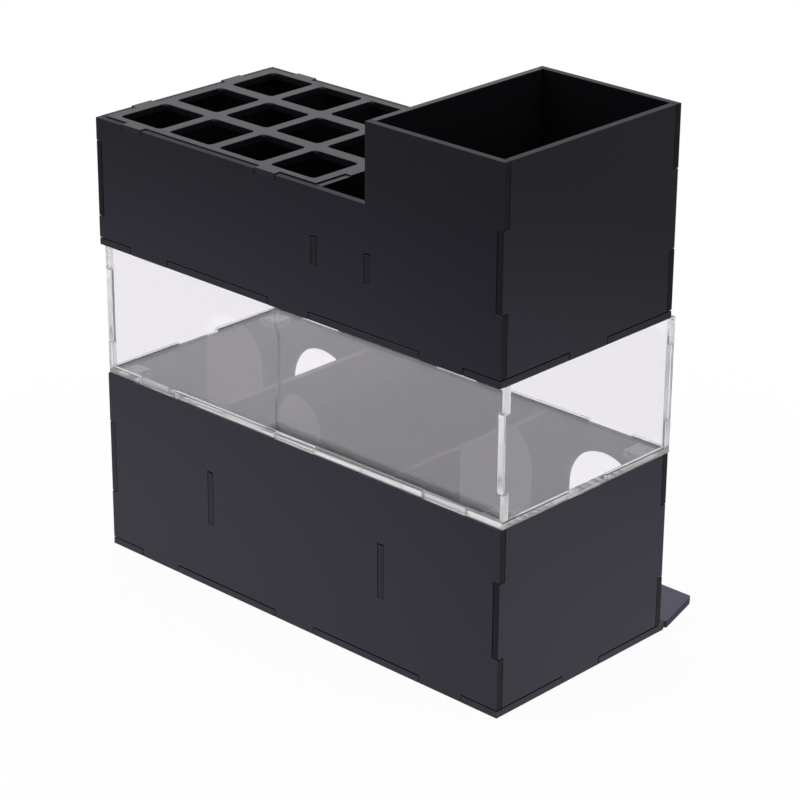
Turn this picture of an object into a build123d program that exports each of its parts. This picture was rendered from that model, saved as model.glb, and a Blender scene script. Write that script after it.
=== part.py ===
from build123d import *
import os
from dataclasses import dataclass
from math import cos, radians, sin

# A desk stand of three stacked boxes cut from acrylic sheet and finger-jointed at their edges.
# Its length lies along X, the front faces -Y and Z is up from the surface that it stands on.
# All sizes are in millimetres and degrees.

# Sheet and outer sizes
sheet = 3.0
length = 230.0
depth = 104.0
bin_height = 83.0
tray_height = 60.5
top_low_height = 57.0
top_high_height = 90.5

# How the loose tiers sit on one another
tray_forward = 0.8
top_back = 2.0
block_size = 10.5
block_play = 0.6

# Finger joints
joint_gap = 0.25
black_foot_gap = 0.45
slot_headroom = 0.6
floor_tab = 23.0
floor_tab_from_end = 19.5
corner_finger = 33.5

# Lower bin
middle_bay = 98.0
bin_divider_tab = 24.0
bin_divider_drop = 1.0
arch_sill = 22.0
side_arch_radius = 20.5
side_arch_head = 11.0
middle_arch_radius = 15.0
middle_arch_side = 7.5

# Front lip, the bent end of the base sheet
lip_reach = 22.0
lip_flat = 3.5
lip_angle = 20.0
lip_bend_radius = 3.0
lip_corner_radius = 2.5
lip_relief_radius = 1.0

# Top unit
tall_bin_length = 72.0
slot_bay = 26.5
top_divider_tab = 12.0

# Pen grid
grid_columns = 4
grid_rows = 3
column_rib = 5.1
row_rib = 6.3
grid_end_border = 5.0
grid_side_border = 3.7
cell_corner_radius = 2.0
grid_tab = 11.5
grid_tab_from_end = 16.5
grid_tab_from_divider = 20.5
grid_end_tab_pitch = 52.5
grid_rise = 0.5

# Places along the length, from the right end at +X to the left end at -X
right_face = length / 2
left_face = -length / 2
step_x = left_face + tall_bin_length
slot_divider_x = step_x + slot_bay
grid_left = slot_divider_x + sheet
grid_right = right_face - sheet

REAR, FRONT = 1, -1
RIGHT, LEFT = 1, -1


@dataclass
class Tier:
    """One box of the stack: where its underside and its centre line lie, and how high its two ends are."""

    base: float
    middle: float
    right_height: float
    left_height: float
    foot_gap: float = joint_gap

    @property
    def floor_top(self):
        return self.base + sheet

    @property
    def wall_foot(self):
        """The height at which the walls start, just above the floor."""
        return self.floor_top + self.foot_gap

    @property
    def rear(self):
        return self.face(REAR)

    @property
    def front(self):
        return self.face(FRONT)

    def face(self, side):
        """The outer face of the rear or the front wall."""
        return self.middle + side * depth / 2

    def wall_span(self, side):
        """The span in y that the rear or the front wall fills."""
        return self.face(side) - side * sheet, self.face(side)

    def wall_notch_span(self, side):
        """The span in y of a cut that takes the rear or the front wall."""
        return self.face(side) - side * (sheet + joint_gap), self.face(side)

    def inner_span(self):
        """The span in y between the two long walls."""
        return self.front + sheet, self.rear - sheet

    def panel_span(self):
        """The span in y of a panel between the two long walls."""
        inner_front, inner_rear = self.inner_span()
        return inner_front + joint_gap, inner_rear - joint_gap

    def height(self, end):
        return self.right_height if end == RIGHT else self.left_height

    def joint_middle(self, wall_height):
        """The middle of a wall above the floor, where its side joints are centred."""
        return self.base + (sheet + wall_height) / 2


# The lip and the rearmost face of the top unit are as far from the origin
bin_middle = (lip_reach - top_back) / 2
lower_bin = Tier(0.0, bin_middle, bin_height, bin_height, black_foot_gap)
clear_tray = Tier(bin_height, bin_middle - tray_forward, tray_height, tray_height)
top_base = bin_height + tray_height
top_unit = Tier(top_base, bin_middle + top_back, top_low_height, top_high_height, black_foot_gap)
low_rim = top_base + top_low_height
grid_top = low_rim + grid_rise


def block(x, y, z):
    """A rectangular block that fills three spans."""
    spans = (x, y, z)
    middles = [sum(span) / 2 for span in spans]
    sizes = [abs(span[1] - span[0]) for span in spans]
    return Pos(*middles) * Box(*sizes)


def around(middle, width):
    """The span of a width about its middle."""
    return middle - width / 2, middle + width / 2


def end_span(end):
    """The span in x that a right or left end wall fills."""
    return end * (length / 2 - sheet), end * length / 2


def end_notch_span(end):
    """The span in x of a cut that takes a right or left end wall."""
    return end * (length / 2 - sheet - joint_gap), end * length / 2


def floor_tab_places():
    """The middles along x of the three tabs under a long wall."""
    outer = length / 2 - floor_tab_from_end - floor_tab / 2
    return -outer, 0.0, outer


def grid_tab_places():
    """The middles along x of the grid plate's tabs in the long walls."""
    by_end = right_face - grid_tab_from_end - grid_tab / 2
    by_divider = grid_left + grid_tab_from_divider + grid_tab / 2
    return by_divider, by_end


def grid_end_tab_places():
    """The middles along y of the grid plate's tabs in the end wall and the slot divider."""
    return top_unit.middle - grid_end_tab_pitch / 2, top_unit.middle + grid_end_tab_pitch / 2


def grid_band():
    """The span in z of the grid plate, which stands a little over the low walls' rims."""
    return grid_top - sheet, grid_top


def grid_notch_band():
    """The span in z of a cut that takes a tab of the grid plate, open at the rim."""
    return grid_top - sheet - joint_gap, low_rim


def floor_plate(tier):
    """A floor with a notch for each wall tab."""
    band = (tier.base, tier.floor_top)
    plate = block((left_face, right_face), (tier.front, tier.rear), band)
    for side in (REAR, FRONT):
        for x in floor_tab_places():
            plate -= block(around(x, floor_tab + 2 * joint_gap), tier.wall_notch_span(side), band)
    for end in (RIGHT, LEFT):
        plate -= block(end_notch_span(end), around(tier.middle, floor_tab + 2 * joint_gap), band)
    return plate


def long_wall(tier, side, step=0.0):
    """A rear or front wall. Its height changes at the step where the two ends differ."""
    y = tier.wall_span(side)
    right_part = block((step, right_face), y, (tier.wall_foot, tier.base + tier.right_height))
    left_part = block((left_face, step), y, (tier.wall_foot, tier.base + tier.left_height))
    wall = right_part + left_part
    for x in floor_tab_places():
        wall += block(around(x, floor_tab), y, (tier.base, tier.wall_foot))
    for end in (RIGHT, LEFT):
        middle = tier.joint_middle(tier.height(end))
        wall -= block(end_notch_span(end), y, around(middle, corner_finger + 2 * joint_gap))
    return wall


def end_wall(tier, end):
    """A right or left end wall, with a finger through each long wall and a tab through the floor."""
    x = end_span(end)
    height = tier.height(end)
    wall = block(x, tier.panel_span(), (tier.wall_foot, tier.base + height))
    wall += block(x, (tier.front, tier.rear), around(tier.joint_middle(height), corner_finger))
    wall += block(x, around(tier.middle, floor_tab), (tier.base, tier.wall_foot))
    return wall


def cross_panel(tier, x, top, tab):
    """A panel across the box, with a tab through each long wall."""
    panel = block(x, tier.panel_span(), (tier.wall_foot, top))
    return panel + block(x, (tier.front, tier.rear), around(cross_tab_middle(tier), tab))


def cross_slot(tier, side, x, tab):
    """The slot in a long wall for the tab of a cross panel, with headroom over the tab."""
    slot_x = (min(x) - joint_gap, max(x) + joint_gap)
    low, high = around(cross_tab_middle(tier), tab)
    return block(slot_x, tier.wall_span(side), (low - joint_gap, high + slot_headroom))


def cross_tab_middle(tier):
    return tier.joint_middle(min(tier.right_height, tier.left_height))


def bin_divider_span(end):
    """The span in x of the right or left divider of the lower bin."""
    return end * middle_bay / 2, end * (middle_bay / 2 + sheet)


def arch(x, radius, side_height):
    """A round-headed cut-out through the bin's front wall, above its sill."""
    spring = arch_sill + side_height
    y = lower_bin.front
    left_foot, right_foot = Vector(x - radius, y, arch_sill), Vector(x + radius, y, arch_sill)
    left_spring, right_spring = Vector(x - radius, y, spring), Vector(x + radius, y, spring)
    crown = Vector(x, y, spring + radius)
    outline = [
        Line(left_foot, left_spring),
        ThreePointArc(left_spring, crown, right_spring),
        Line(right_spring, right_foot),
        Line(right_foot, left_foot),
    ]
    return extrude(make_face(outline), amount=sheet, dir=(0, 1, 0))


def lip():
    """The end of the base sheet, bent up ahead of the front wall across the whole length."""
    angle = radians(lip_angle)
    bend_y = lower_bin.front - lip_flat
    outer_radius = lip_bend_radius + sheet
    slope = (lip_reach - lip_flat - outer_radius * sin(angle)) / cos(angle)

    def on_bend(radius, turned):
        return Vector(0, bend_y - radius * sin(turned), outer_radius - radius * cos(turned))

    run = Vector(0, -slope * cos(angle), slope * sin(angle))
    low_end = on_bend(outer_radius, angle) + run
    high_end = on_bend(lip_bend_radius, angle) + run
    low_start = Vector(0, lower_bin.front, 0)
    high_start = Vector(0, lower_bin.front, sheet)
    outline = [
        Line(low_start, on_bend(outer_radius, 0)),
        ThreePointArc(*(on_bend(outer_radius, turned) for turned in (0, angle / 2, angle))),
        Line(on_bend(outer_radius, angle), low_end),
        Line(low_end, high_end),
        Line(high_end, on_bend(lip_bend_radius, angle)),
        ThreePointArc(*(on_bend(lip_bend_radius, turned) for turned in (angle, angle / 2, 0))),
        Line(on_bend(lip_bend_radius, 0), high_start),
        Line(high_start, low_start),
    ]
    strip = extrude(make_face(outline), amount=length / 2, both=True)
    footprint = Pos(0, lower_bin.front) * RectangleRounded(length, 2 * lip_reach, lip_corner_radius)
    return strip & extrude(footprint, amount=lip_reach)


def base_plate():
    """The bin's floor and its lip in one bent sheet, with a relief notch at each end of the bend."""
    plate = floor_plate(lower_bin) + lip()
    for end in (RIGHT, LEFT):
        relief = Cylinder(lip_relief_radius, 2 * sheet)
        plate -= Pos(end * length / 2, lower_bin.front - lip_flat, sheet / 2) * relief
    return plate


def bin_long_wall(side):
    wall = long_wall(lower_bin, side)
    for end in (RIGHT, LEFT):
        wall -= cross_slot(lower_bin, side, bin_divider_span(end), bin_divider_tab)
    return wall


def bin_front_wall():
    """The front wall, with an arch before each of the three bays."""
    wall = bin_long_wall(FRONT)
    side_bay_middle = (middle_bay / 2 + sheet + length / 2 - sheet) / 2
    side_arch_side = bin_height - side_arch_head - side_arch_radius - arch_sill
    for end in (RIGHT, LEFT):
        wall -= arch(end * side_bay_middle, side_arch_radius, side_arch_side)
    return wall - arch(0.0, middle_arch_radius, middle_arch_side)


def bin_divider(end):
    top = lower_bin.base + bin_height - bin_divider_drop
    return cross_panel(lower_bin, bin_divider_span(end), top, bin_divider_tab)


def corner_block(end, side):
    """A block under a corner of the tray's floor, which drops inside the lower bin."""
    x = end * (length / 2 - sheet - block_play)
    y = lower_bin.face(side) - side * (sheet + block_play)
    span_x = (x - end * block_size, x)
    span_y = (y - side * block_size, y)
    return block(span_x, span_y, (clear_tray.base - sheet, clear_tray.base))


def top_long_wall(side):
    """A stepped wall, with slots for the cross panels and notches for the grid plate's tabs."""
    wall = long_wall(top_unit, side, step_x)
    for x in (slot_divider_x, step_x - sheet):
        wall -= cross_slot(top_unit, side, (x, x + sheet), top_divider_tab)
    for x in grid_tab_places():
        wall -= block(around(x, grid_tab + 2 * joint_gap), top_unit.wall_span(side), grid_notch_band())
    return wall


def grid_end_notches(x):
    """The notches that take the grid plate's end tabs, as blocks to cut away."""
    spans = [around(y, grid_tab + 2 * joint_gap) for y in grid_end_tab_places()]
    return [block(x, span, grid_notch_band()) for span in spans]


def top_short_end():
    wall = end_wall(top_unit, RIGHT)
    for notch in grid_end_notches(end_span(RIGHT)):
        wall -= notch
    return wall


def slot_divider():
    x = (slot_divider_x, grid_left)
    panel = cross_panel(top_unit, x, low_rim, top_divider_tab)
    for notch in grid_end_notches(x):
        panel -= notch
    return panel


def tall_bin_wall():
    """The wall between the slot bay and the tall bin, as high as the tall bin."""
    top = top_base + top_high_height
    return cross_panel(top_unit, (step_x - sheet, step_x), top, top_divider_tab)


def grid_plate():
    """The pen grid: a plate of rounded cells that rests on its tabs in the low walls' rims."""
    front, rear = top_unit.inner_span()
    band = grid_band()
    plate = block((grid_left + joint_gap, grid_right - joint_gap), top_unit.panel_span(), band)
    for x in grid_tab_places():
        plate += block(around(x, grid_tab), (top_unit.front, top_unit.rear), band)
    for y in grid_end_tab_places():
        plate += block((slot_divider_x, right_face), around(y, grid_tab), band)
    run_x = grid_right - grid_left - 2 * grid_end_border
    run_y = rear - front - 2 * grid_side_border
    cell_x = (run_x - (grid_columns - 1) * column_rib) / grid_columns
    cell_y = (run_y - (grid_rows - 1) * row_rib) / grid_rows
    cell = extrude(RectangleRounded(cell_x, cell_y, cell_corner_radius), sheet)
    for column in range(grid_columns):
        for row in range(grid_rows):
            x = grid_left + grid_end_border + cell_x / 2 + column * (cell_x + column_rib)
            y = front + grid_side_border + cell_y / 2 + row * (cell_y + row_rib)
            plate -= Pos(x, y, grid_top - sheet) * cell
    return plate


def lower_bin_pieces():
    return {
        "bin_base_plate": base_plate(),
        "bin_rear_wall": bin_long_wall(REAR),
        "bin_front_wall": bin_front_wall(),
        "bin_right_end": end_wall(lower_bin, RIGHT),
        "bin_left_end": end_wall(lower_bin, LEFT),
        "bin_right_divider": bin_divider(RIGHT),
        "bin_left_divider": bin_divider(LEFT),
    }


def clear_tray_pieces():
    pieces = {
        "tray_floor": floor_plate(clear_tray),
        "tray_rear_wall": long_wall(clear_tray, REAR),
        "tray_front_wall": long_wall(clear_tray, FRONT),
        "tray_right_end": end_wall(clear_tray, RIGHT),
        "tray_left_end": end_wall(clear_tray, LEFT),
    }
    for side, side_name in ((REAR, "rear"), (FRONT, "front")):
        for end, end_name in ((RIGHT, "right"), (LEFT, "left")):
            pieces[f"tray_block_{side_name}_{end_name}"] = corner_block(end, side)
    return pieces


def top_unit_pieces():
    return {
        "top_floor": floor_plate(top_unit),
        "top_rear_wall": top_long_wall(REAR),
        "top_front_wall": top_long_wall(FRONT),
        "top_short_end": top_short_end(),
        "top_tall_end": end_wall(top_unit, LEFT),
        "slot_divider": slot_divider(),
        "tall_bin_wall": tall_bin_wall(),
        "grid_plate": grid_plate(),
    }


os.makedirs("parts", exist_ok=True)
for pieces in (lower_bin_pieces(), clear_tray_pieces(), top_unit_pieces()):
    for name, piece in pieces.items():
        export_step(piece, f"parts/{name}.step")
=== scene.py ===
"""Finish, studio and camera for a desk stand of three stacked acrylic boxes.

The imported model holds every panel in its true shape, so nothing here moves or reshapes one. Each panel
gets the eased edges and the finish of the sheet that it is cut from, and the studio gives the stand a
pale floor and soft light.
"""
import logging
import math
from collections.abc import Mapping
from dataclasses import dataclass, replace
from enum import Enum
from typing import Any

import bmesh
import bpy
from mathutils import Matrix, Vector


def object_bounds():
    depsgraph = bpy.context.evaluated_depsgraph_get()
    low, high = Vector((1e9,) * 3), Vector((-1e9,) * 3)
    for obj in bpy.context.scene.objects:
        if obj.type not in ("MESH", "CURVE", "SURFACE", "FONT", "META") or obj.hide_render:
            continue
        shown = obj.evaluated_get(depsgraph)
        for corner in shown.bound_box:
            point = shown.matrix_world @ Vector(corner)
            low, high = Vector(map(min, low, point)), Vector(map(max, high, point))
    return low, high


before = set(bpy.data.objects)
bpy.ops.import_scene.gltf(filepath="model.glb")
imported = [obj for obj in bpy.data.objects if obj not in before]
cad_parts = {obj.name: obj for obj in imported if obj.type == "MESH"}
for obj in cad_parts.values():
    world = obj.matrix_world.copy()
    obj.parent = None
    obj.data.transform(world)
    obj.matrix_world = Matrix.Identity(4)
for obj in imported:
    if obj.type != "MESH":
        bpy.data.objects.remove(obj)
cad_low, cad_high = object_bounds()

log = logging.getLogger("desk_stand")

MM = 0.001

Triple = tuple[float, float, float]
Span = tuple[float, float]

WHITE: Triple = (1.0, 1.0, 1.0)


def opaque(colour: Triple) -> tuple[float, float, float, float]:
    """The colour as a socket takes it."""
    return (*colour, 1.0)


class Lie(Enum):
    """How a sheet lies in the stand, named by the axis that its thickness runs along."""

    CROSSWISE = (1.0, 0.0, 0.0)
    LENGTHWISE = (0.0, 1.0, 0.0)
    FLAT = (0.0, 0.0, 1.0)


class Wire:
    """An output of a node. Arithmetic on it adds the Math nodes that work it out."""

    def __init__(self, graph: "Graph", node: bpy.types.Node, name: str | int = 0) -> None:
        """Keeps which output is meant.

        Args:
            graph: The tree that the node is in.
            node: The node.
            name: The output's name or place.
        """
        self.graph = graph
        self.node = node
        self.name = name

    @property
    def socket(self) -> bpy.types.NodeSocket:
        """The output socket itself."""
        return self.node.outputs[self.name]

    def output(self, name: str | int) -> "Wire":
        """Another output of the same node."""
        return Wire(self.graph, self.node, name)

    def _math(self, operation: str, *operands: "Wire | float") -> "Wire":
        """Adds one Math node over the operands."""
        return self.graph.add("ShaderNodeMath", {"operation": operation}, dict(enumerate(operands)))

    def __add__(self, other: "Wire | float") -> "Wire":
        """The sum."""
        return self._math("ADD", self, other)

    def __radd__(self, other: float) -> "Wire":
        """The sum, from the right."""
        return self._math("ADD", other, self)

    def __mul__(self, other: "Wire | float") -> "Wire":
        """The product."""
        return self._math("MULTIPLY", self, other)

    def __rmul__(self, other: float) -> "Wire":
        """The product, from the right."""
        return self._math("MULTIPLY", other, self)

    def __abs__(self) -> "Wire":
        """The size without its sign."""
        return self._math("ABSOLUTE", self)

    def at_least(self, other: "Wire | float") -> "Wire":
        """The larger of the two."""
        return self._math("MAXIMUM", self, other)

    def rise(self, start: float, end: float) -> "Wire":
        """A smooth step, from 0 at the start to 1 at the end, which may lie below the start."""
        sockets = {"Value": self, "From Min": start, "From Max": end}
        return self.graph.add("ShaderNodeMapRange", {"interpolation_type": "SMOOTHSTEP"}, sockets)


class Graph:
    """A node tree that is written from code."""

    def __init__(self, tree: bpy.types.NodeTree) -> None:
        """Starts the tree with no nodes."""
        self.tree = tree
        tree.nodes.clear()

    def add(
        self,
        kind: str,
        settings: Mapping[str, Any] | None = None,
        sockets: Mapping[str | int, Any] | None = None,
    ) -> Wire:
        """Adds one node.

        Args:
            kind: The node's type.
            settings: The node's own properties, which are set first.
            sockets: A value or a Wire for each input, by name or place.

        Returns:
            The node's first output.
        """
        node = self.tree.nodes.new(kind)
        for name, value in (settings or {}).items():
            setattr(node, name, value)
        for name, value in (sockets or {}).items():
            if isinstance(value, Wire):
                self.tree.links.new(value.socket, node.inputs[name])
            else:
                node.inputs[name].default_value = value
        return Wire(self, node)

    def scaled(self, vector: Wire, by: Triple) -> Wire:
        """The vector with each of its parts scaled by its own number."""
        return self.add("ShaderNodeVectorMath", {"operation": "MULTIPLY"}, {0: vector, 1: by})

    def distance(self, place: Wire) -> Wire:
        """How far a place is from the origin."""
        return self.add("ShaderNodeVectorMath", {"operation": "LENGTH"}, {0: place}).output("Value")

    def along(self, vector: Wire, axis: Triple) -> Wire:
        """The part of a vector that lies along an axis."""
        dot = self.add("ShaderNodeVectorMath", {"operation": "DOT_PRODUCT"}, {0: vector, 1: axis})
        return dot.output("Value")

    def noise(self, place: Wire, size: float, detail: float = 0.0) -> Wire:
        """Noise from 0 to 1, in clouds of the given size with so many finer layers over them."""
        return self.add("ShaderNodeTexNoise", {}, {"Vector": place, "Scale": 1 / size, "Detail": detail})

    def emission(self, kind: str, strength: float) -> Wire:
        """White light of one strength, as a shader of the given kind."""
        return self.add(kind, {}, {"Color": opaque(WHITE), "Strength": strength})

    def relief(self, height: Wire) -> Wire:
        """The normal of a surface that is raised by a height in metres."""
        return self.add("ShaderNodeBump", {}, {"Strength": 1.0, "Distance": 1.0, "Height": height})

    def mix_shaders(self, factor: Wire | float, first: Wire, second: Wire) -> Wire:
        """Mixes two shaders, 0 for the first and 1 for the second."""
        return self.add("ShaderNodeMixShader", {}, {0: factor, 1: first, 2: second})

    def end(self, kind: str, shader: Wire) -> None:
        """Feeds the last shader to the tree's own output."""
        self.add(kind, {}, {"Surface": shader})


@dataclass(frozen=True)
class Surface:
    """One state of the acrylic: its colour, its polish, how clear it is and the tint of its gloss."""

    colour: Triple
    roughness: float
    refraction: float
    transmission: float = 0.0
    gloss_tint: Triple = WHITE

    def shader(self, graph: Graph, roughness: Wire | float, relief: Wire) -> Wire:
        """The surface as a shader.

        Args:
            graph: The tree that takes it.
            roughness: The roughness, as it varies over the sheet.
            relief: The surface's own unevenness, as a normal.

        Returns:
            The shader.
        """
        sockets = {
            "Base Color": opaque(self.colour),
            "Roughness": roughness,
            "IOR": self.refraction,
            "Transmission Weight": self.transmission,
            "Specular Tint": opaque(self.gloss_tint),
            "Normal": relief,
        }
        return graph.add("ShaderNodeBsdfPrincipled", {}, sockets)


@dataclass(frozen=True)
class SheetFinish:
    """Acrylic sheet: what its two polished faces and its cut edge look like.

    Sizes are in metres. Whether a point lies on a face or on the cut is read off its normal, whose part
    along the sheet's thickness is 1 on a face and 0 on the cut. The cut edge's finish begins on the eased
    arris, and the frosting only on the cut itself.
    """

    name: str
    slot: str
    face: Surface
    upright_edge: Surface
    flat_edge: Surface
    arris: Span = (0.8, 0.4)
    cut: Span = (0.45, 0.15)
    frost: float = 0.0
    frost_colour: Triple = (0.97, 0.97, 0.97)
    frost_glow: float = 0.0
    smudge_roughness: float = 0.04
    smudge_size: float = 28 * MM
    smudge_detail: float = 4.0
    smudge_patches: Span = (0.45, 0.75)
    ripple_size: float = 22 * MM
    ripple_height: float = 0.010 * MM
    cut_line_size: float = 0.35 * MM
    cut_line_detail: float = 1.0
    cut_line_height: float = 0.012 * MM
    cut_line_length: float = 40.0

    def material(self, lie: Lie) -> bpy.types.Material:
        """The finish on a sheet that lies in the given way.

        Args:
            lie: The axis of the sheet's thickness.

        Returns:
            The material, made once for each lie.
        """
        name = f"{self.name}_{lie.name.lower()}"
        known = bpy.data.materials.get(name)
        if known:
            return known
        material = bpy.data.materials.new(name)
        material.use_nodes = True
        graph = Graph(material.node_tree)
        where = graph.add("ShaderNodeTexCoord")
        place = where.output("Object")
        facing = abs(graph.along(where.output("Normal"), lie.value))
        face = self.face.shader(graph, self._handled_roughness(graph, place), self._ripple(graph, place))
        edge = self._cut_edge(graph, place, facing, lie)
        graph.end("ShaderNodeOutputMaterial", graph.mix_shaders(facing.rise(*self.arris), face, edge))
        return material

    def _cut_edge(self, graph: Graph, place: Wire, facing: Wire, lie: Lie) -> Wire:
        """The cut edge with its fine lines, frosted where the sheet is clear.

        Args:
            graph: The tree that takes it.
            place: Where the surface point is.
            facing: How much the surface point faces as the sheet does, from 0 on the cut to 1 on a face.
            lie: The axis of the sheet's thickness.

        Returns:
            The shader.
        """
        surface = self.flat_edge if lie is Lie.FLAT else self.upright_edge
        lines = graph.relief(self.cut_line_height * self._cut_lines(graph, place, lie))
        edge = surface.shader(graph, surface.roughness, lines)
        if not self.frost:
            return edge
        return graph.mix_shaders(facing.rise(*self.cut) * self.frost, edge, self._frosting(graph))

    def _handled_roughness(self, graph: Graph, place: Wire) -> Wire | float:
        """The polish of the faces, dulled in patches by handling.

        Args:
            graph: The tree that takes it.
            place: Where the surface point is.

        Returns:
            The roughness, one number where the sheet has no smudges.
        """
        if not self.smudge_roughness:
            return self.face.roughness
        handled = graph.noise(place, self.smudge_size, self.smudge_detail).rise(*self.smudge_patches)
        return self.face.roughness + self.smudge_roughness * handled

    def _ripple(self, graph: Graph, place: Wire) -> Wire:
        """The slow ripple of the faces, as a normal."""
        return graph.relief(self.ripple_height * graph.noise(place, self.ripple_size))

    def _cut_lines(self, graph: Graph, place: Wire, lie: Lie) -> Wire:
        """The fine lines that the cut leaves through the thickness, from 0 to 1."""
        stretch = tuple(1 - part * (1 - 1 / self.cut_line_length) for part in lie.value)
        return graph.noise(graph.scaled(place, stretch), self.cut_line_size, self.cut_line_detail)

    def _frosting(self, graph: Graph) -> Wire:
        """The white that the cut edge of clear sheet gathers, seen from outside and through the sheet.

        Args:
            graph: The tree that takes it.

        Returns:
            The shader.
        """
        colour = {"Color": opaque(self.frost_colour)}
        outside = graph.add("ShaderNodeBsdfDiffuse", {}, colour)
        inside = graph.add("ShaderNodeBsdfTranslucent", {}, colour)
        return graph.mix_shaders(self.frost_glow, outside, inside)


BLACK: Triple = (0.0062, 0.0060, 0.0072)
CUT_BLACK: Triple = (0.0070, 0.0068, 0.0080)
SMOKY: Triple = (0.72, 0.68, 1.0)
PALE_SMOKY: Triple = (0.90, 0.88, 1.0)

BLACK_SHEET = SheetFinish(
    name="black_sheet",
    slot="black_acrylic",
    face=Surface(colour=BLACK, roughness=0.06, refraction=1.54, gloss_tint=SMOKY),
    upright_edge=Surface(colour=CUT_BLACK, roughness=0.35, refraction=1.27, gloss_tint=SMOKY),
    flat_edge=Surface(colour=BLACK, roughness=0.28, refraction=1.56, gloss_tint=SMOKY),
)

BLACK_DIVIDER = replace(
    BLACK_SHEET,
    name="black_divider",
    upright_edge=Surface(colour=BLACK, roughness=0.20, refraction=1.45, gloss_tint=SMOKY),
)

MIRROR_BLACK = replace(
    BLACK_DIVIDER,
    name="mirror_black",
    face=Surface(colour=BLACK, roughness=0.03, refraction=1.80, gloss_tint=PALE_SMOKY),
)

CLEAR_CUT = Surface(colour=(0.990, 0.988, 0.990), roughness=0.02, refraction=1.49, transmission=1.0)

CLEAR_SHEET = SheetFinish(
    name="clear_sheet",
    slot="clear_acrylic",
    face=Surface(colour=(0.955, 0.941, 0.969), roughness=0.0, refraction=1.49, transmission=1.0),
    upright_edge=CLEAR_CUT,
    flat_edge=CLEAR_CUT,
    frost=0.28,
    smudge_roughness=0.0,
    ripple_height=0.002 * MM,
    cut_line_height=0.003 * MM,
)

CLEAR_BLOCK = replace(CLEAR_SHEET, name="clear_block", frost=0.25, frost_glow=0.5)


@dataclass(frozen=True)
class EasedEdges:
    """The small round that every cut edge has. Sizes are in metres."""

    width: float
    segments: int = 2
    sharpest: float = math.radians(40)
    weld: float = 0.001 * MM

    def ease(self, node: bpy.types.Object, gap: float) -> None:
        """Rounds a panel's edges.

        Args:
            node: The panel, whose own mesh stays as it is.
            gap: How far its surface draws in first, so that it doesn't lie in its neighbour's.
        """
        weld = node.modifiers.new("joined_corners", "WELD")
        weld.merge_threshold = self.weld
        if gap:
            inset = node.modifiers.new("contact_gap", "DISPLACE")
            inset.strength = -gap
            inset.mid_level = 0.0
        bevel = node.modifiers.new("eased_edges", "BEVEL")
        bevel.width = self.width
        bevel.segments = self.segments
        bevel.limit_method = "ANGLE"
        bevel.angle_limit = self.sharpest
        bevel.harden_normals = True


@dataclass(frozen=True)
class Panel:
    """One panel of a box: its node, how its sheet lies, and what sets it apart from the others."""

    node: str
    lie: Lie
    own_finish: SheetFinish | None = None
    drawn_in: bool = True


@dataclass(frozen=True)
class StackedBox:
    """One box of the stack, with the finish of its sheet."""

    body: str
    finish: SheetFinish
    edges: EasedEdges
    panels: tuple[Panel, ...]
    contact_gap: float = 0.0

    def dress(self) -> None:
        """Eases the edges of each panel and gives it its finish."""
        for panel in self.panels:
            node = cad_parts[panel.node]
            finish = panel.own_finish or self.finish
            self.edges.ease(node, self.contact_gap if panel.drawn_in else 0.0)
            node.material_slots[0].material = finish.material(panel.lie)
            log.info("%s: %s, %s, %s", self.body, panel.node, panel.lie.name.lower(), finish.name)


@dataclass(frozen=True)
class LowerBin(StackedBox):
    """The black bin that carries the stack, with its arches and its bent lip.

    The panels that the arches are mirrored in have a higher polish.
    """

    body: str = "lower_bin"
    finish: SheetFinish = BLACK_SHEET
    edges: EasedEdges = EasedEdges(width=0.22 * MM)
    panels: tuple[Panel, ...] = (
        Panel("bin_base_plate", Lie.FLAT),
        Panel("bin_rear_wall", Lie.LENGTHWISE),
        Panel("bin_front_wall", Lie.LENGTHWISE),
        Panel("bin_right_end", Lie.CROSSWISE, own_finish=MIRROR_BLACK),
        Panel("bin_left_end", Lie.CROSSWISE),
        Panel("bin_right_divider", Lie.CROSSWISE, own_finish=MIRROR_BLACK),
        Panel("bin_left_divider", Lie.CROSSWISE, own_finish=MIRROR_BLACK),
    )


@dataclass(frozen=True)
class ClearTray(StackedBox):
    """The clear tray, with the corner blocks that seat it in the bin."""

    body: str = "clear_tray"
    finish: SheetFinish = CLEAR_SHEET
    edges: EasedEdges = EasedEdges(width=0.18 * MM)
    panels: tuple[Panel, ...] = (
        Panel("tray_floor", Lie.FLAT, drawn_in=False),
        Panel("tray_block_rear_right", Lie.FLAT, own_finish=CLEAR_BLOCK),
        Panel("tray_block_rear_left", Lie.FLAT, own_finish=CLEAR_BLOCK),
        Panel("tray_block_front_right", Lie.FLAT, own_finish=CLEAR_BLOCK),
        Panel("tray_block_front_left", Lie.FLAT, own_finish=CLEAR_BLOCK),
        Panel("tray_rear_wall", Lie.LENGTHWISE),
        Panel("tray_front_wall", Lie.LENGTHWISE),
        Panel("tray_right_end", Lie.CROSSWISE),
        Panel("tray_left_end", Lie.CROSSWISE),
    )
    contact_gap: float = 0.015 * MM


@dataclass(frozen=True)
class TopUnit(StackedBox):
    """The black unit on top, with its pen grid, slot bay and tall bin."""

    body: str = "top_unit"
    finish: SheetFinish = BLACK_SHEET
    edges: EasedEdges = EasedEdges(width=0.22 * MM)
    panels: tuple[Panel, ...] = (
        Panel("top_floor", Lie.FLAT),
        Panel("grid_plate", Lie.FLAT),
        Panel("top_rear_wall", Lie.LENGTHWISE),
        Panel("top_front_wall", Lie.LENGTHWISE),
        Panel("top_short_end", Lie.CROSSWISE),
        Panel("top_tall_end", Lie.CROSSWISE),
        Panel("slot_divider", Lie.CROSSWISE, own_finish=BLACK_DIVIDER),
        Panel("tall_bin_wall", Lie.CROSSWISE, own_finish=BLACK_DIVIDER),
    )


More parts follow.
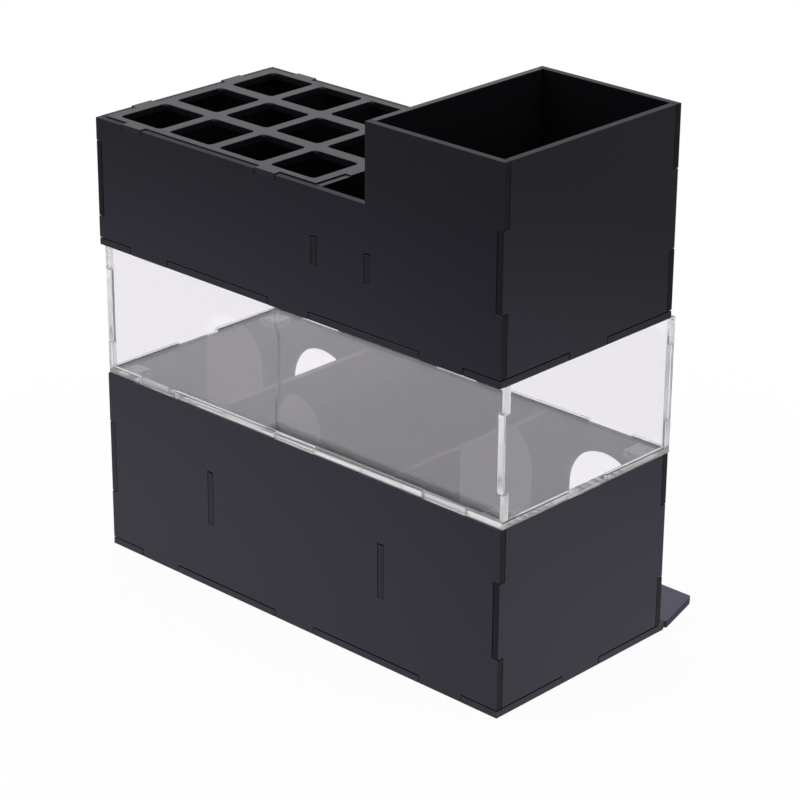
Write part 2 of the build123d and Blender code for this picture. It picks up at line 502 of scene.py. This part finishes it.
@dataclass(frozen=True)
class Softbox:
    """A large square lamp that faces the stand. Its place and side are in metres, its power in watts."""

    name: str
    place: Triple
    power: float
    side: float = 1.00

    def hang(self, towards: Vector) -> None:
        """Makes the lamp. Clear sheet in front of it doesn't show it.

        Args:
            towards: The point that it faces.
        """
        lamp = bpy.data.lights.new(self.name, "AREA")
        lamp.shape = "SQUARE"
        lamp.size = self.side
        lamp.energy = self.power
        holder = bpy.data.objects.new(self.name, lamp)
        holder.location = self.place
        holder.rotation_euler = (Vector(self.place) - towards).to_track_quat("Z", "Y").to_euler()
        holder.visible_transmission = False
        bpy.context.scene.collection.objects.link(holder)


@dataclass(frozen=True)
class Studio:
    """A pale floor under a white surround, lit softly from above. Sizes are in metres."""

    floor_colour: Triple = (0.90, 0.90, 0.90)
    floor_radius: float = 4.0
    floor_steps: int = 96
    surround: float = 1.0
    surround_light: float = 0.40
    surround_gloss: float = 0.66
    whitened: float = 0.95
    shadow_reach: Span = (0.13, 0.38)
    # Strengths of the painted pool of light that gloss sees on the floor, near the stand and far out.
    painted_pool_near: float = 0.73
    painted_pool_far: float = 0.22
    pool_middle: Triple = (0.03, 0.05, 0.0)
    pool_turn: float = math.radians(22)
    pool_reach: Triple = (1.00, 0.41, 1.0)
    softboxes: tuple[Softbox, ...] = (
        Softbox(name="softbox_above", place=(0.10, -0.15, 1.00), power=4.2),
        Softbox(name="softbox_left", place=(0.55, 0.75, 0.80), power=4.4),
        Softbox(name="softbox_right", place=(-0.85, 0.10, 0.75), power=3.7),
    )

    def build(self) -> None:
        """Makes the surround, the floor and the lamps."""
        self._surround()
        self._floor()
        middle = (cad_low + cad_high) / 2
        for softbox in self.softboxes:
            softbox.hang(middle)
        log.info("studio: floor, surround and %d softboxes", len(self.softboxes))

    def _surround(self) -> None:
        """The white all round, which lights the stand less than it shows."""
        world = bpy.data.worlds.new("studio_surround")
        world.use_nodes = True
        graph = Graph(world.node_tree)
        path = graph.add("ShaderNodeLightPath")
        direct = path.output("Is Camera Ray").at_least(path.output("Is Transmission Ray"))
        strengths = (self.surround_light, self.surround_gloss, self.surround)
        light, gloss, white = (graph.emission("ShaderNodeBackground", strength) for strength in strengths)
        indirect = graph.mix_shaders(path.output("Is Glossy Ray"), light, gloss)
        graph.end("ShaderNodeOutputWorld", graph.mix_shaders(direct, indirect, white))
        bpy.context.scene.world = world

    def _floor(self) -> None:
        """The round floor. It shows nearly white, and keeps the stand's shadow."""
        mesh = bpy.data.meshes.new("floor")
        rim = bmesh.new()
        bmesh.ops.create_circle(rim, cap_ends=True, segments=self.floor_steps, radius=self.floor_radius)
        rim.to_mesh(mesh)
        rim.free()
        floor = bpy.data.objects.new("floor", mesh)
        mesh.materials.append(self._floor_material())
        bpy.context.scene.collection.objects.link(floor)

    def _floor_material(self) -> bpy.types.Material:
        """Pale board, whitened to the eye. In gloss it shows a painted pool of light round the stand,
        bright near it and dim further out.

        Returns:
            The material.
        """
        material = bpy.data.materials.new("pale_floor")
        material.use_nodes = True
        graph = Graph(material.node_tree)
        path = graph.add("ShaderNodeLightPath")
        place = graph.add("ShaderNodeTexCoord").output("Object")
        direct = path.output("Is Camera Ray").at_least(path.output("Is Transmission Ray"))
        far = graph.distance(place).rise(*self.shadow_reach)
        shown = direct * (self.whitened + (1 - self.whitened) * far)
        strengths = (self.painted_pool_far, self.painted_pool_near, self.surround)
        outer, inner, white = (graph.emission("ShaderNodeEmission", strength) for strength in strengths)
        # Gloss sees mostly a painted pool of light on the floor, bright by the stand and dim further out;
        # only a small share is the lit board.
        painted_reflection = graph.mix_shaders(self._painted_pool(graph, place), outer, inner)
        board = graph.add("ShaderNodeBsdfDiffuse", {}, {"Color": opaque(self.floor_colour)})
        glow = graph.mix_shaders(direct, painted_reflection, white)
        factor = shown.at_least(path.output("Is Glossy Ray") * self.whitened)
        graph.end("ShaderNodeOutputMaterial", graph.mix_shaders(factor, board, glow))
        return material

    def _painted_pool(self, graph: Graph, place: Wire) -> Wire:
        """A slanting oval on the floor, the mask of the painted pool of light that gloss sees.

        Args:
            graph: The tree that takes it.
            place: Where the floor's point is.

        Returns:
            1 in the oval's middle by the stand, and 0 from its rim outwards.
        """
        sockets = {
            "Vector": place,
            "Location": self.pool_middle,
            "Rotation": (0.0, 0.0, self.pool_turn),
            "Scale": self.pool_reach,
        }
        oval = graph.add("ShaderNodeMapping", {"vector_type": "TEXTURE"}, sockets)
        return graph.distance(oval).rise(1.0, 0.0)


@dataclass(frozen=True)
class Viewpoint:
    """Where the photograph was taken from.

    Angles are in degrees, and azimuth 0 looks along +Y. The distance and the point aimed at are in metres,
    the lens and the sensor in millimetres.
    """

    azimuth: float = 223.25
    elevation: float = 23.17
    roll: float = 0.42
    distance: float = 1.210
    aim: Triple = (-0.0134, 0.0116, 0.0928)
    lens: float = 129.3
    sensor: float = 36.0

    def place(self) -> None:
        """Makes the scene's camera."""
        azimuth, elevation, roll = (math.radians(a) for a in (self.azimuth, self.elevation, self.roll))
        level = math.cos(elevation)
        back = Vector((math.sin(azimuth) * level, -math.cos(azimuth) * level, math.sin(elevation)))
        turn = back.to_track_quat("Z", "Y").to_matrix() @ Matrix.Rotation(roll, 3, "Z")
        camera = bpy.data.cameras.new("camera")
        camera.lens = self.lens
        camera.sensor_width = self.sensor
        holder = bpy.data.objects.new("camera", camera)
        holder.matrix_world = Matrix.Translation(Vector(self.aim) + self.distance * back) @ turn.to_4x4()
        bpy.context.scene.collection.objects.link(holder)
        bpy.context.scene.camera = holder
        log.info("camera: %.0f mm lens at %.2f m", self.lens, self.distance)


@dataclass(frozen=True)
class LightPaths:
    """How often light may turn on its way. The clear sheet's cut edges send it round many times."""

    glossy: int = 96
    transmitted: int = 32
    total: int = 96

    def allow(self) -> None:
        """Sets the scene's limits."""
        limits = bpy.context.scene.cycles
        limits.glossy_bounces = self.glossy
        limits.transmission_bounces = self.transmitted
        limits.max_bounces = self.total


def main() -> None:
    """Dresses the three boxes and builds the studio round them."""
    logging.basicConfig(level=logging.INFO, format="%(name)s: %(message)s")
    for box in (LowerBin(), ClearTray(), TopUnit()):
        box.dress()
    Studio().build()
    Viewpoint().place()
    LightPaths().allow()
    bpy.context.scene.view_settings.view_transform = "Standard"


if __name__ == "__main__":
    main()
